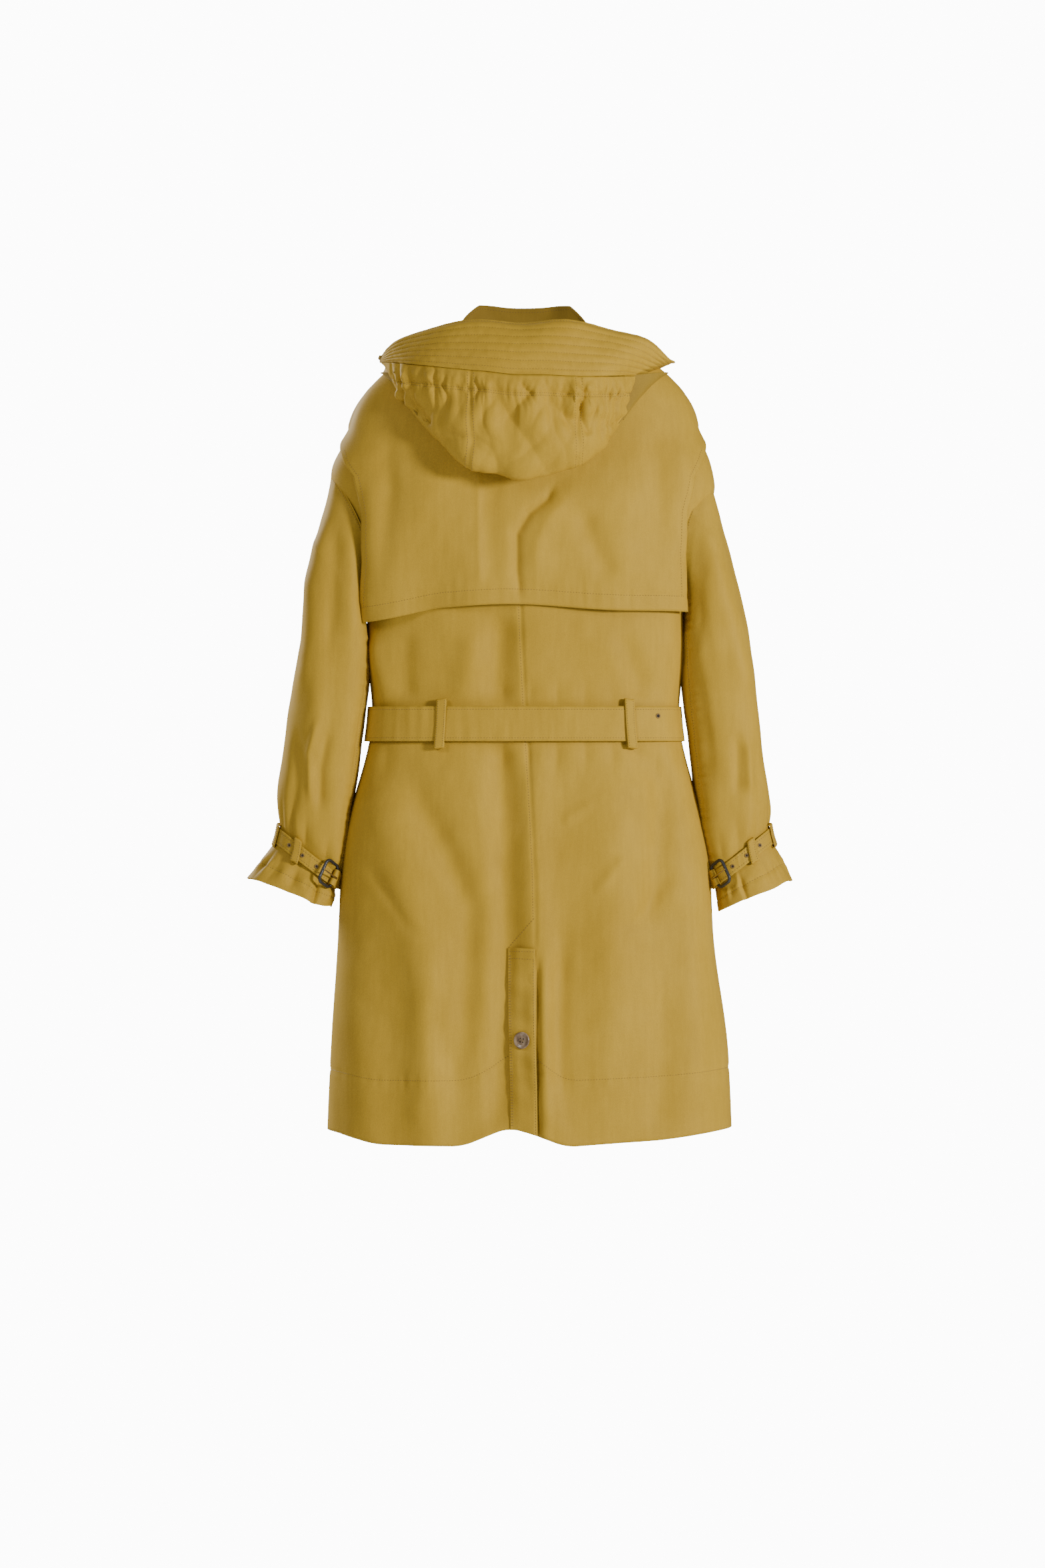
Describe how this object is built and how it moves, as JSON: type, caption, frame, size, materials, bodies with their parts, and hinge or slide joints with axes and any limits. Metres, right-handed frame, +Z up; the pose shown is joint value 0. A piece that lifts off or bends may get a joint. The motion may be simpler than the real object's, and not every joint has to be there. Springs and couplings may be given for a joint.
{
  "type": "raincoat",
  "caption": "Hooded, belted raincoat of trench cut, closed, with storm cape, buttoned back vent, and buckled straps at belt and cuffs.",
  "frame": {"origin": "middle of the neck opening at the inside back neck, where a hanger's hook passes", "axes": "+Z up, -Y the coat's front, +X the wearer's left"},
  "size_m": [0.68, 0.2614, 1.0846],
  "materials": {
    "gabardine": "tight twill, slight sheen",
    "facing": "matt cotton",
    "horn": "polished, marbled",
    "black_leather": "smooth, satin",
    "brass": "satin"
  },
  "bodies": {
    "coat": {"back_cape_top": "gabardine", "back_panel_left": "gabardine", "back_panel_right": "gabardine", "belt_buckle_fold": "gabardine", "belt_loop_back_left": "gabardine", "belt_loop_back_right": "gabardine", "belt_loop_front_left": "gabardine", "belt_loop_front_right": "gabardine", "belt_strap": "gabardine", "collar": "facing", "front_button_left_1": "horn", "front_button_left_2": "horn", "front_button_left_3": "horn", "front_button_left_4": "horn", "front_button_right_1": "horn", "front_button_right_2": "horn", "front_button_right_3": "horn", "front_button_right_4": "horn", "front_panel_left": "gabardine", "front_panel_right": "gabardine", "hang_loop": "facing", "hood_neck_panel": "gabardine", "pocket_welt_left": "gabardine", "pocket_welt_right": "gabardine", "storm_flap_left": "gabardine", "storm_flap_right": "gabardine", "vent_button": "horn", "vent_flap": "gabardine"},
    "hood": {"hood_brim": "gabardine", "hood_center_panel": "gabardine", "hood_side_left": "gabardine", "hood_side_right": "gabardine"},
    "cape_flap": {"back_cape_flap": "gabardine"},
    "belt_frame": {"belt_buckle_frame": "black_leather"},
    "belt_prong": {"belt_buckle_prong": "brass"},
    "sleeve_left": {"cuff_buckle_left_fold": "gabardine", "cuff_loop_left_back": "gabardine", "cuff_loop_left_front": "gabardine", "cuff_loop_left_outer": "gabardine", "cuff_strap_left": "gabardine", "sleeve_left": "gabardine"},
    "cuff_frame_left": {"cuff_buckle_left_frame": "black_leather"},
    "cuff_prong_left": {"cuff_buckle_left_prong": "brass"},
    "sleeve_right": {"cuff_buckle_right_fold": "gabardine", "cuff_loop_right_back": "gabardine", "cuff_loop_right_front": "gabardine", "cuff_loop_right_outer": "gabardine", "cuff_strap_right": "gabardine", "sleeve_right": "gabardine"},
    "cuff_frame_right": {"cuff_buckle_right_frame": "black_leather"},
    "cuff_prong_right": {"cuff_buckle_right_prong": "brass"}
  },
  "joints": [
    {"name": "hood_lift", "type": "hinge", "parent": "coat", "child": "hood", "pos_m": [0, 0, -0.06], "axis": [1, 0, 0], "range_deg": [0, 100]},
    {"name": "cape_lift", "type": "hinge", "parent": "coat", "child": "cape_flap", "pos_m": [0, 0.08653, -0.23541], "axis": [1, 0, 0], "range_deg": [0, 60]},
    {"name": "sleeve_left_swing", "type": "hinge", "parent": "coat", "child": "sleeve_left", "pos_m": [0.2425, 0, -0.206], "axis": [0, -1, 0], "range_deg": [0, 75]},
    {"name": "sleeve_right_swing", "type": "hinge", "parent": "coat", "child": "sleeve_right", "pos_m": [-0.2425, 0, -0.206], "axis": [0, 1, 0], "range_deg": [0, 75]},
    {"name": "belt_buckle_tilt", "type": "hinge", "parent": "coat", "child": "belt_frame", "pos_m": [0.02208, -0.08929, -0.52252], "axis": [-0.0004, 0.0359, 0.9994], "range_deg": [0, 65]},
    {"name": "belt_prong_tilt", "type": "hinge", "parent": "belt_frame", "child": "belt_prong", "pos_m": [0.02208, -0.08929, -0.52252], "axis": [-0.0004, 0.0359, 0.9994], "range_deg": [0, 50]},
    {"name": "cuff_buckle_left_tilt", "type": "hinge", "parent": "sleeve_left", "child": "cuff_frame_left", "pos_m": [0.24505, 0.03292, -0.72062], "axis": [-0.3904, -0.2734, 0.8791], "range_deg": [0, 40]},
    {"name": "cuff_prong_left_tilt", "type": "hinge", "parent": "cuff_frame_left", "child": "cuff_prong_left", "pos_m": [0.24505, 0.03292, -0.72062], "axis": [-0.3904, -0.2734, 0.8791], "range_deg": [0, 40]},
    {"name": "cuff_buckle_right_tilt", "type": "hinge", "parent": "sleeve_right", "child": "cuff_frame_right", "pos_m": [-0.24505, 0.03292, -0.72062], "axis": [-0.3904, 0.2734, -0.8791], "range_deg": [0, 40]},
    {"name": "cuff_prong_right_tilt", "type": "hinge", "parent": "cuff_frame_right", "child": "cuff_prong_right", "pos_m": [-0.24505, 0.03292, -0.72062], "axis": [-0.3904, 0.2734, -0.8791], "range_deg": [0, 40]}
  ]
}
